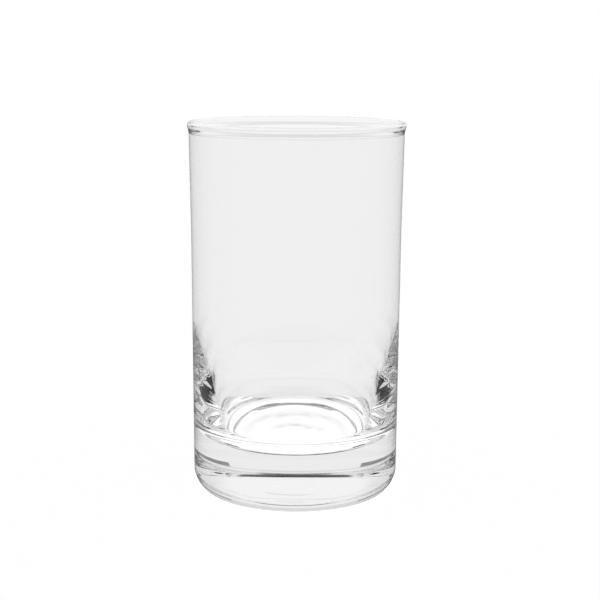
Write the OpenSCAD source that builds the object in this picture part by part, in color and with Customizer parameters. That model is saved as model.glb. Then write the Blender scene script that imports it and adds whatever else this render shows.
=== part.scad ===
// Tall rocks glass: a straight clear tumbler with a fire-polished lip, a thin wall,
// a well that narrows into a heavy base, and a shallow hollow under the foot.
// Millimetres, +Z up. The origin is at the centre of the foot, on the table.

/* [Outside] */
// Height from the table to the top of the lip
glass_h = 110; // [95:1:130]
// Outside diameter where the wall rises out of the heel
base_d = 61.5; // [58:0.1:66]
// Outside diameter where the wall starts to flare
neck_d = 62.2; // [59:0.1:66.5]
// Height where the wall starts to flare
neck_z = 78; // [66:1:90]
// Outside diameter of the wall at the mouth, under the lip
mouth_d = 63.4; // [60:0.1:68]
// Radius of the rounded heel between the wall and the foot
heel_r = 6.7; // [3:0.1:8]
// Angle between the table and the heel where it leaves the foot, in degrees
heel_a = 33; // [0:1:40]

/* [Wall and lip] */
// Thickness of the wall above the base
wall_t = 1; // [0.8:0.05:1.6]
// Thickness of the rounded lip
lip_t = 1.8; // [1.6:0.1:2.6]
// How far the lip stands out from the wall
lip_out = 0.3; // [0.1:0.05:0.6]
// Height over which the wall swells into the lip
swell_h = 2.6; // [1.5:0.1:5]

/* [Well] */
// Thickness of the base under the middle of the well
floor_t = 15.2; // [10:0.1:22]
// Diameter of the flat floor of the well
floor_d = 33.4; // [24:0.1:36]
// Radius of the corner between the floor and the tapering wall
corner_r = 8.6; // [5:0.1:10]
// Angle of the tapering wall from the vertical, in degrees
taper_a = 12; // [9:0.5:16]
// Radius of the long blend from the tapering wall to the thin wall
blend_r = 68; // [40:1:90]

/* [Foot] */
// Width of the flat ring that the glass stands on
ring_w = 0.8; // [0.6:0.1:4]
// Width of the soft edge between the ring and the roof of the hollow
punt_edge = 1.4; // [0.6:0.1:5]
// Depth of the hollow under the foot
punt_h = 0.95; // [0.4:0.05:2]

/* [Hidden] */
turn_fn = 180;

base_r = base_d / 2;
neck_r = neck_d / 2;
lip_r = lip_t / 2;
lip_z = glass_h - lip_r;
lip_mid_r = mouth_d / 2 + lip_out - lip_r;
swell_z = lip_z - swell_h;

// The wall leans out by the draft angle up to the neck, then flares to the mouth.
heel_mid_z = heel_r * cos(heel_a);
draft_a = atan((neck_r - base_r) / (neck_z - heel_mid_z));
function straight_r(z) = base_r + (z - heel_mid_z) * tan(draft_a);
flare_out = mouth_d / 2 - straight_r(glass_h);
function flare_r(z) = z < neck_z ? 0 : flare_out * pow((z - neck_z) / (glass_h - neck_z), 2);
function wall_r(z) = straight_r(z) + flare_r(z);

// The heel rises from the outer edge of the ring and touches the leaning wall.
heel_mid = [base_r - heel_r / cos(draft_a), heel_mid_z];
heel_top_z = heel_mid_z - heel_r * sin(draft_a);
ring_r = heel_mid.x + heel_r * sin(heel_a);
punt_r = ring_r - ring_w;
roof_r = punt_r - punt_edge;

// The corner of the well touches its floor and the tapering wall.
corner_mid = [floor_d / 2, floor_t + corner_r];
corner_top = corner_mid + corner_r * [cos(taper_a), -sin(taper_a)];

// The blend touches the tapering wall and the inside of the thin wall.
meet_z = (straight_r(0) - wall_t - corner_top.x + corner_top.y * tan(taper_a)) / (tan(taper_a) - tan(draft_a));
meet = [straight_r(meet_z) - wall_t, meet_z];
blend_run = blend_r * tan((taper_a - draft_a) / 2);
blend_top = meet + blend_run * [sin(draft_a), cos(draft_a)];
blend_mid = blend_top - blend_r * [cos(draft_a), -sin(draft_a)];

function along(from, to, steps) = [for (i = [1 : steps]) from + (to - from) * i / steps];
function arc(mid, r, from_a, to_a, steps) =
    [for (i = [0 : steps]) let (a = from_a + (to_a - from_a) * i / steps) mid + r * [cos(a), sin(a)]];
function ease(t) = (1 - cos(180 * t)) / 2;

// Underside, from the middle of the hollow over its soft edge to the ring
function underside() = concat(
    [[0, punt_h]],
    [for (r = concat([roof_r], along(roof_r, punt_r, 8))) [r, punt_h * (1 - ease((r - roof_r) / punt_edge))]]);

// Outside of the wall, from the heel to the neck, the mouth and the start of the lip
function outside() = concat(
    [for (z = along(heel_top_z, neck_z, 2)) [wall_r(z), z]],
    [for (z = along(neck_z, swell_z, 8)) [wall_r(z), z]],
    [for (z = along(swell_z, lip_z, 6))
        let (t = ease((z - swell_z) / swell_h)) [wall_r(z) * (1 - t) + (lip_mid_r + lip_r) * t, z]]);

// Inside of the wall, from the lip down to the blend
function inside() = concat(
    [for (z = along(lip_z, swell_z, 6))
        let (t = ease((z - swell_z) / swell_h)) [(wall_r(z) - wall_t) * (1 - t) + (lip_mid_r - lip_r) * t, z]],
    [for (z = along(swell_z, neck_z, 8)) [wall_r(z) - wall_t, z]]);

module tumbler_section() {
    polygon(concat(
        underside(),
        arc(heel_mid, heel_r, heel_a - 90, -draft_a, 12),
        outside(),
        arc([lip_mid_r, lip_z], lip_r, 15, 165, 10),
        inside(),
        arc(blend_mid, blend_r, -draft_a, -taper_a, 8),
        arc(corner_mid, corner_r, -taper_a, -90, 12),
        [[0, floor_t]]));
}

// The whole glass is one piece, turned about its axis.
module tumbler() {
    color([0.9, 0.94, 0.95, 0.4])
        rotate_extrude($fn = turn_fn)
            tumbler_section();
}

tumbler();
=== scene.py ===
import math

import bmesh
import bpy
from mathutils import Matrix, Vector, noise


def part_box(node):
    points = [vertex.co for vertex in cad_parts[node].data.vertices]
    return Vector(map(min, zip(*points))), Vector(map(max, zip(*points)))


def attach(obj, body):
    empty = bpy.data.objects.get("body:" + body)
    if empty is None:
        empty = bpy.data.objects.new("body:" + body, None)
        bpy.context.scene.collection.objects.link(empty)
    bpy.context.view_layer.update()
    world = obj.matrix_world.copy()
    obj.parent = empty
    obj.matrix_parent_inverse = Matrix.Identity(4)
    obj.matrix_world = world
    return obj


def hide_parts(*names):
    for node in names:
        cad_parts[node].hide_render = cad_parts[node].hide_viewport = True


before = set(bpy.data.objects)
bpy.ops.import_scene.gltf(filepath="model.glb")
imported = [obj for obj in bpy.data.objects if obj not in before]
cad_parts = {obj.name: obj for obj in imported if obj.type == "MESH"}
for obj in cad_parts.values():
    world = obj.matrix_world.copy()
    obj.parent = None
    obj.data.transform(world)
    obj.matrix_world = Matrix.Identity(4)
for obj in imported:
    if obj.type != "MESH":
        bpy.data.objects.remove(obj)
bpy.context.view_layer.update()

# Tumbler
# The whole glass is one piece of clear soda-lime glass, blown from one gob into a turning mould.
# The lip is melted round in a flame, the thin wall runs down into a well that narrows to a flat floor,
# and the thick base under it keeps the slight waves that the cooling glass set with.
mm = 0.001
low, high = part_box("tumbler")
glass_h = high.z - low.z
lip_edge = high.x
base_r = 30.75 * mm
neck_r = 31.1 * mm
neck_z = 78 * mm
heel_r = 6.7 * mm
heel_lean = math.radians(33)
ring_w = 0.8 * mm
ring_inner_ease = 0.3 * mm
ring_outer_ease = 0.15 * mm
wall_t = 1 * mm
lip_t = 1.8 * mm
lip_out = 0.3 * mm
swell_h = 2.6 * mm
floor_t = 15.2 * mm
floor_r = 16.7 * mm
corner_r = 8.6 * mm
taper = math.radians(12)
blend_r = 68 * mm
punt_edge = 1.4 * mm
punt_h = 0.95 * mm
turn_steps = 240

# The wall leans out by its draft, and bends once, in a long flare, on its way to the lip.
base_z = heel_r * math.cos(heel_lean)
draft = math.atan((neck_r - base_r) / (neck_z - base_z))
lip_r = lip_t / 2
lip_z = glass_h - lip_r
swell_z = lip_z - swell_h
flare_mid_z = (neck_z + swell_z) / 2
flare_reach = (swell_z - neck_z) / 2
mouth_r = lip_edge - lip_out


def drafted_r(z):
    return base_r + (z - base_z) * math.tan(draft)


flare_out = mouth_r - drafted_r(glass_h)
swell_r = drafted_r(swell_z) + flare_out * ((swell_z - neck_z) / (glass_h - neck_z)) ** 2

# Where the tapering wall meets the floor of the well below it and the thin wall above it.
corner_reach = corner_r * math.tan((math.pi / 2 - taper) / 2)
taper_foot_r = floor_r + corner_reach
wall_foot_r = drafted_r(0) - wall_t
meet_z = (wall_foot_r - taper_foot_r + floor_t * math.tan(taper)) / (math.tan(taper) - math.tan(draft))
blend_reach = blend_r * math.tan((taper - draft) / 2)

# The heel leaves the flat ring of the foot at a lean, and rounds up into the wall.
heel_reach = heel_r * math.tan((math.pi / 2 - draft - heel_lean) / 2)
heel_z = heel_reach * math.sin(heel_lean)
ring_r = drafted_r(heel_z) - heel_reach * math.cos(heel_lean)
punt_r = ring_r - ring_w
roof_r = punt_r - punt_edge

# The hollow under the foot has a flat roof and a soft edge, and the lip swells out of the wall.
punt_ease = 0.45 * punt_edge
swell_ease = swell_h * (0.5 - 1 / math.pi)
lip_inner_r = lip_edge - lip_t

# Each corner of the section: its distance from the axis, its height, how far its round reaches,
# and how many steps the round has.
section = (
    (0, punt_h, 0, 0),
    (roof_r, punt_h, punt_ease, 8),
    (punt_r, 0, ring_inner_ease, 4),
    (ring_r, 0, ring_outer_ease, 3),
    (drafted_r(heel_z), heel_z, heel_reach, 20),
    (drafted_r(flare_mid_z), flare_mid_z, flare_reach, 12),
    (swell_r, swell_z + swell_ease, swell_ease, 4),
    (lip_edge, lip_z - swell_ease, swell_ease, 4),
    (lip_edge, glass_h, lip_r, 8),
    (lip_inner_r, glass_h, lip_r, 8),
    (lip_inner_r, lip_z - swell_ease, swell_ease, 4),
    (swell_r - wall_t, swell_z + swell_ease, swell_ease, 4),
    (drafted_r(flare_mid_z) - wall_t, flare_mid_z, flare_reach, 12),
    (drafted_r(meet_z) - wall_t, meet_z, blend_reach, 36),
    (taper_foot_r, floor_t, corner_reach, 26),
    (0, floor_t, 0, 0),
)
corner_gap = 0.001 * mm
bm = bmesh.new()
corners = [bm.verts.new((r, 0, z)) for r, z, reach, steps in section]
for start, end in zip(corners, corners[1:]):
    bm.edges.new((start, end))
for corner, (r, z, reach, steps) in zip(corners, section):
    if reach:
        bmesh.ops.bevel(bm, geom=[corner], offset=reach, offset_type="OFFSET", segments=steps, profile=0.5,
                        affect="VERTICES", material=-1, clamp_overlap=False)
bmesh.ops.remove_doubles(bm, verts=bm.verts[:], dist=corner_gap)

# The straight runs are cut into short rows, so that the waves in the glass have something to bend.
fine_row = 0.25 * mm
ring_row = 0.6 * mm
plain_row = 4 * mm
level_gap = 0.01 * mm
seam_gap = 0.002 * mm
edge_margin = 1.01
well_low_z = 0.5 * floor_t
for edge in bm.edges[:]:
    edge_low = min(v.co.z for v in edge.verts)
    edge_high = max(v.co.z for v in edge.verts)
    edge_far = max(v.co.x for v in edge.verts)
    in_well = edge_low > well_low_z and edge_high < meet_z
    under_foot = edge_high < edge_margin * punt_h and edge_far < edge_margin * punt_r
    if edge_high - edge_low < level_gap:
        row = ring_row
    elif in_well or under_foot:
        row = fine_row
    else:
        row = plain_row
    cuts = int(edge.calc_length() / row)
    if cuts:
        bmesh.ops.subdivide_edges(bm, edges=[edge], cuts=cuts)
bmesh.ops.spin(bm, geom=bm.verts[:] + bm.edges[:], cent=(0, 0, 0), axis=(0, 0, 1), angle=2 * math.pi,
               steps=turn_steps, use_merge=True)
bmesh.ops.remove_doubles(bm, verts=bm.verts[:], dist=seam_gap)
bmesh.ops.recalc_face_normals(bm, faces=bm.faces[:])

# Waves: the sides of the tapering wall cooled in soft slanted folds, and the floor and the foot in flat
# rings. The folds end where a side stops mirroring, which depends on how strongly the glass bends light.
glass_ior = 1.52
fold_long = 7.5 * mm
fold_short = 3.4 * mm
fold_long_depth = 0.055 * mm
fold_short_depth = 0.01 * mm
fold_slant = 0.28
fold_phase = 6 * mm
fold_low = floor_t + 5.8 * mm
fold_rise = 2 * mm
fold_high = 70 * mm
fold_fall = 22 * mm
side_fade = math.radians(5)
back_end = math.radians(-60)
back_start = math.radians(-30)
drift_size = 14 * mm
drift_stretch = 0.3
drift_sway = 1.6
ripple_size = 6 * mm
ripple_sway = 0.7
floor_ring_step = 4 * mm
floor_ring_depth = 0.02 * mm
floor_ring_inset = 1 * mm
floor_ring_outset = 4 * mm
foot_ring_step = 8 * mm
foot_ring_depth = 0.05 * mm
foot_ring_inset = 2 * mm
foot_sway_size = 9 * mm
foot_sway = 1.5
axis_gap = 0.1 * mm
inner_gap = 0.9 * wall_t


def fade(value, start, end):
    share = min(max((value - start) / (end - start), 0), 1)
    return share * share * (3 - 2 * share)


for vert in bm.verts:
    x, y, z = vert.co
    r = math.hypot(x, y)
    if r < axis_gap:
        continue
    in_well = z > well_low_z and r < drafted_r(z) - inner_gap and z < swell_z
    if in_well and z > fold_low:
        drift = noise.noise(Vector((x, y, drift_stretch * z)) / drift_size)
        ripple = noise.noise(Vector((x, y, z)) / ripple_size)
        share = fade(z, fold_low, fold_low + fold_rise) * (1 - fade(z, fold_high - fold_fall, fold_high))
        turned = math.atan2(-y, abs(x))
        tilted_z = z + fold_phase + fold_slant * r * turned
        long_fold = fold_long_depth * math.sin(2 * math.pi * tilted_z / fold_long + drift_sway * drift)
        short_fold = fold_short_depth * math.sin(2 * math.pi * tilted_z / fold_short + ripple_sway * ripple)
        seen_in = math.asin(r / drafted_r(z))
        seen_out = math.asin(r / (glass_ior * drafted_r(z)))
        mirror_end = math.acos(1 / glass_ior) - seen_in + seen_out
        side = 1 - fade(turned, mirror_end - side_fade, mirror_end)
        side *= fade(turned, back_end, back_start)
        widen = 1 + share * side * (long_fold + short_fold) / r
        vert.co.x *= widen
        vert.co.y *= widen
    elif in_well:
        share = 1 - fade(r, floor_r - floor_ring_inset, floor_r + floor_ring_outset)
        vert.co.z += share * floor_ring_depth * math.cos(2 * math.pi * r / floor_ring_step)
    elif z < edge_margin * punt_h and r < roof_r:
        share = 1 - fade(r, roof_r - foot_ring_inset, roof_r)
        sway = noise.noise(Vector((x, y, 0)) / foot_sway_size)
        vert.co.z += share * foot_ring_depth * math.cos(2 * math.pi * r / foot_ring_step + foot_sway * sway)
for face in bm.faces:
    face.smooth = True
tumbler_mesh = bpy.data.meshes.new("tumbler_glass")
bm.to_mesh(tumbler_mesh)
bm.free()
tumbler = bpy.data.objects.new("tumbler_glass", tumbler_mesh)
bpy.context.scene.collection.objects.link(tumbler)

# Clear glass with a slight grey tint, a faint unevenness from the mould and a faint haze from washing.
glass_tint = 0.952
glass_shade = 1.2
wave_scale = 90
wave_detail = 1
wave_strength = 0.05
wave_height = 0.05 * mm
haze_scale = 260
haze_start = 0.45
haze_end = 0.8
haze_top = 0.012
clear_glass = bpy.data.materials.new("clear_glass")
clear_glass.use_nodes = True
nodes = clear_glass.node_tree.nodes
links = clear_glass.node_tree.links
glass = nodes["Principled BSDF"]
glass.inputs["Base Color"].default_value = (glass_tint, glass_tint, glass_tint, 1)
glass.inputs["Metallic"].default_value = 0
glass.inputs["IOR"].default_value = glass_ior
glass.inputs["Transmission Weight"].default_value = 1
place = nodes.new("ShaderNodeTexCoord")
wave = nodes.new("ShaderNodeTexNoise")
wave.inputs["Scale"].default_value = wave_scale
wave.inputs["Detail"].default_value = wave_detail
links.new(place.outputs["Object"], wave.inputs["Vector"])
bump = nodes.new("ShaderNodeBump")
bump.inputs["Strength"].default_value = wave_strength
bump.inputs["Distance"].default_value = wave_height
links.new(wave.outputs["Fac"], bump.inputs["Height"])
links.new(bump.outputs["Normal"], glass.inputs["Normal"])
haze = nodes.new("ShaderNodeTexNoise")
haze.inputs["Scale"].default_value = haze_scale
links.new(place.outputs["Object"], haze.inputs["Vector"])
haze_range = nodes.new("ShaderNodeMapRange")
haze_range.inputs["From Min"].default_value = haze_start
haze_range.inputs["From Max"].default_value = haze_end
haze_range.inputs["To Max"].default_value = haze_top
links.new(haze.outputs["Fac"], haze_range.inputs["Value"])
links.new(haze_range.outputs["Result"], glass.inputs["Roughness"])
shade = nodes.new("ShaderNodeVolumeAbsorption")
shade.inputs["Color"].default_value = (0, 0, 0, 1)
shade.inputs["Density"].default_value = glass_shade
links.new(shade.outputs[0], nodes["Material Output"].inputs["Volume"])
tumbler_mesh.materials.append(clear_glass)
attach(tumbler, "root")
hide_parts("tumbler")

# Floor
# A sheet of paper under the glass. The camera sees it as white, with a faint share of the shade that the
# glass throws on it. Through the glass it is white too, and under the foot it carries a painted pool of
# light, brighter than white, that stands in for the light the glass gathers there. In reflections it keeps
# its own dark grey.
floor_size = 6.0
floor_drop = 0.02 * mm
painted_glow_r = 32 * mm
painted_glow_soft = 2 * mm
painted_glow_level = 1.35
paper_tone = 0.2
paper_share = 0.86
paper_lift = 0.14
bm = bmesh.new()
bmesh.ops.create_grid(bm, x_segments=1, y_segments=1, size=floor_size)
bmesh.ops.translate(bm, verts=bm.verts[:], vec=(0, 0, -floor_drop))
floor_mesh = bpy.data.meshes.new("floor_paper")
bm.to_mesh(floor_mesh)
bm.free()
floor = bpy.data.objects.new("floor_paper", floor_mesh)
bpy.context.scene.collection.objects.link(floor)

paper = bpy.data.materials.new("floor_paper")
paper.use_nodes = True
nodes = paper.node_tree.nodes
links = paper.node_tree.links
nodes.remove(nodes["Principled BSDF"])
diffuse = nodes.new("ShaderNodeBsdfDiffuse")
diffuse.inputs["Color"].default_value = (paper_tone, paper_tone, paper_tone, 1)
white = nodes.new("ShaderNodeEmission")
place = nodes.new("ShaderNodeTexCoord")
off_axis = nodes.new("ShaderNodeVectorMath")
off_axis.operation = "LENGTH"
links.new(place.outputs["Object"], off_axis.inputs[0])
# Painted pool of light: inside this radius the paper glows brighter than white, in place of the light the
# glass gathers under its foot.
under = nodes.new("ShaderNodeMapRange")
under.interpolation_type = "SMOOTHSTEP"
under.inputs["From Min"].default_value = painted_glow_r - painted_glow_soft
under.inputs["From Max"].default_value = painted_glow_r + painted_glow_soft
under.inputs["To Min"].default_value = painted_glow_level
under.inputs["To Max"].default_value = 1
links.new(off_axis.outputs["Value"], under.inputs["Value"])
ray = nodes.new("ShaderNodeLightPath")
lift = nodes.new("ShaderNodeMath")
lift.operation = "MULTIPLY_ADD"
lift.inputs[1].default_value = paper_lift
links.new(ray.outputs["Is Camera Ray"], lift.inputs[0])
links.new(under.outputs["Result"], lift.inputs[2])
links.new(lift.outputs[0], white.inputs["Strength"])
camera_share = nodes.new("ShaderNodeMath")
camera_share.operation = "MULTIPLY"
camera_share.inputs[1].default_value = paper_share
links.new(ray.outputs["Is Camera Ray"], camera_share.inputs[0])
seen = nodes.new("ShaderNodeMath")
seen.operation = "MAXIMUM"
links.new(camera_share.outputs[0], seen.inputs[0])
links.new(ray.outputs["Is Transmission Ray"], seen.inputs[1])
mix = nodes.new("ShaderNodeMixShader")
links.new(seen.outputs[0], mix.inputs[0])
links.new(diffuse.outputs[0], mix.inputs[1])
links.new(white.outputs[0], mix.inputs[2])
links.new(mix.outputs[0], nodes["Material Output"].inputs["Surface"])
floor_mesh.materials.append(paper)

# Studio
# A white sweep rises behind the glass in a pale room, with low white cards behind it and at its sides.
# A black flag hangs over the sweep and draws the dark line in the thick base, and black strips above the
# side cards draw the dark strokes in the sides of the well. Angles are in degrees.
room_level = 0.92
room_lift = 26
room_soft = 12
top_level = 0.95
sweep_half = 37
sweep_soft = 11
sweep_level = 0.8
sweep_lift = 13
sweep_lift_soft = 4
sweep_top_level = 1.06
flag_rise = 82
flag_half = 45.7
flag_soft = 0.5
flag_reach = 107
flag_wide = 26
flag_side_soft = 3
flag_level = 0.01
strip_turn = 121
strip_half = 59
strip_soft = 2
strip_top = 20
strip_top_soft = 1
strip_level = 0
card_top = 8
card_top_soft = 1.5
card_half = 28
card_soft = 0.7
side_turn = 90
side_half = 9
side_soft = 2
gap_level = 0.27
gap_turn = 100
gap_soft = 2
front_gap_level = 0.6
world = bpy.data.worlds.new("studio")
bpy.context.scene.world = world
world.use_nodes = True
nodes = world.node_tree.nodes
links = world.node_tree.links


def world_set(sockets, values):
    for socket, value in zip(sockets, values):
        if isinstance(value, (int, float)):
            socket.default_value = value
        else:
            links.new(value, socket)


def world_sum(operation, first, second=0):
    node = nodes.new("ShaderNodeMath")
    node.operation = operation
    world_set(node.inputs, (first, second))
    return node.outputs[0]


def world_angle(operation, first, second=0):
    return world_sum("MULTIPLY", world_sum(operation, first, second), 180 / math.pi)


def world_edge(value, edge, soft):
    node = nodes.new("ShaderNodeMapRange")
    node.interpolation_type = "SMOOTHSTEP"
    links.new(value, node.inputs["Value"])
    node.inputs["From Min"].default_value = edge - soft
    node.inputs["From Max"].default_value = edge + soft
    return node.outputs["Result"]


def world_mix(mask, first, second):
    node = nodes.new("ShaderNodeMix")
    node.data_type = "FLOAT"
    links.new(mask, node.inputs["Factor"])
    world_set((node.inputs["A"], node.inputs["B"]), (first, second))
    return node.outputs["Result"]


place = nodes.new("ShaderNodeTexCoord")
split = nodes.new("ShaderNodeSeparateXYZ")
links.new(place.outputs["Generated"], split.inputs[0])
rise = world_angle("ARCSINE", split.outputs["Z"])
aside = world_sum("ABSOLUTE", world_angle("ARCTAN2", split.outputs["X"], split.outputs["Y"]))
back_turn = world_angle("ARCCOSINE", split.outputs["Y"])
beside = world_angle("ARCSINE", world_sum("ABSOLUTE", split.outputs["X"]))

# The room grows lighter upward, and the sweep covers the part of it behind the glass.
room = world_mix(world_edge(rise, room_lift, room_soft), room_level, top_level)
sweep = world_mix(world_edge(rise, sweep_lift, sweep_lift_soft), sweep_level, sweep_top_level)
bright = world_mix(world_edge(aside, sweep_half, sweep_soft), sweep, room)

# The flag is a round sheet overhead, cut off in front and at both sides.
flag_way = nodes.new("ShaderNodeVectorMath")
flag_way.operation = "DOT_PRODUCT"
links.new(place.outputs["Generated"], flag_way.inputs[0])
flag_up = math.radians(flag_rise)
flag_way.inputs[1].default_value = (0, math.cos(flag_up), math.sin(flag_up))
flag_turn = world_angle("ARCCOSINE", flag_way.outputs["Value"])
past_round = world_edge(flag_turn, flag_half, flag_soft)
past_front = world_edge(back_turn, flag_reach, flag_side_soft)
past_side = world_edge(beside, flag_wide, flag_side_soft)
off_flag = world_sum("MAXIMUM", world_sum("MAXIMUM", past_round, past_front), past_side)
bright = world_mix(off_flag, flag_level, bright)

# The strips run round the sides and the front, over the cards.
strip_way = world_sum("ABSOLUTE", world_sum("SUBTRACT", aside, strip_turn))
off_strip = world_edge(strip_way, strip_half, strip_soft)
low_room = world_mix(off_strip, strip_level, bright)
bright = world_mix(world_edge(rise, strip_top, strip_top_soft), low_room, bright)

# The cards stand behind the glass and at its sides, with grey gaps between them.
off_back = world_edge(aside, card_half, card_soft)
side_way = world_sum("ABSOLUTE", world_sum("SUBTRACT", aside, side_turn))
off_side = world_edge(side_way, side_half, side_soft)
gap = world_sum("MULTIPLY", off_back, off_side)
gap_shade = world_mix(world_edge(aside, gap_turn, gap_soft), gap_level, front_gap_level)
card_level = world_mix(gap, 1, gap_shade)
bright = world_mix(world_edge(rise, card_top, card_top_soft), card_level, bright)

# The camera sees plain white where it looks past the floor.
ray = nodes.new("ShaderNodeLightPath")
shown = world_mix(ray.outputs["Is Camera Ray"], bright, 1)
background = nodes["Background"]
background.inputs["Color"].default_value = (1, 1, 1, 1)
links.new(shown, background.inputs["Strength"])

# Camera
# It stands in front of the glass, a little higher than the lip, and looks slightly down on it.
# The focal length and the shift are in pixels of the picture.
camera_back = 397.3 * mm
camera_rise = 132.1 * mm
look_down = math.radians(10.736)
lean = -0.005
film_w = 36
picture_w = 600
focal_pixels = 1349
shift_pixels = 2.88
nearest = 10 * mm
camera_data = bpy.data.cameras.new("camera")
camera = bpy.data.objects.new("camera", camera_data)
bpy.context.scene.collection.objects.link(camera)
camera.location = (0, -camera_back, camera_rise)
camera.rotation_euler = (math.pi / 2 - look_down, lean, 0)
camera_data.sensor_width = film_w
camera_data.lens = film_w * focal_pixels / picture_w
camera_data.shift_x = shift_pixels / picture_w
camera_data.clip_start = nearest
bpy.context.scene.camera = camera

# Light that is trapped in the thick base takes many turns before it leaves.
light_turns = 160
scene = bpy.context.scene
scene.view_settings.view_transform = "Standard"
scene.cycles.max_bounces = light_turns
scene.cycles.transmission_bounces = light_turns
scene.cycles.glossy_bounces = light_turns
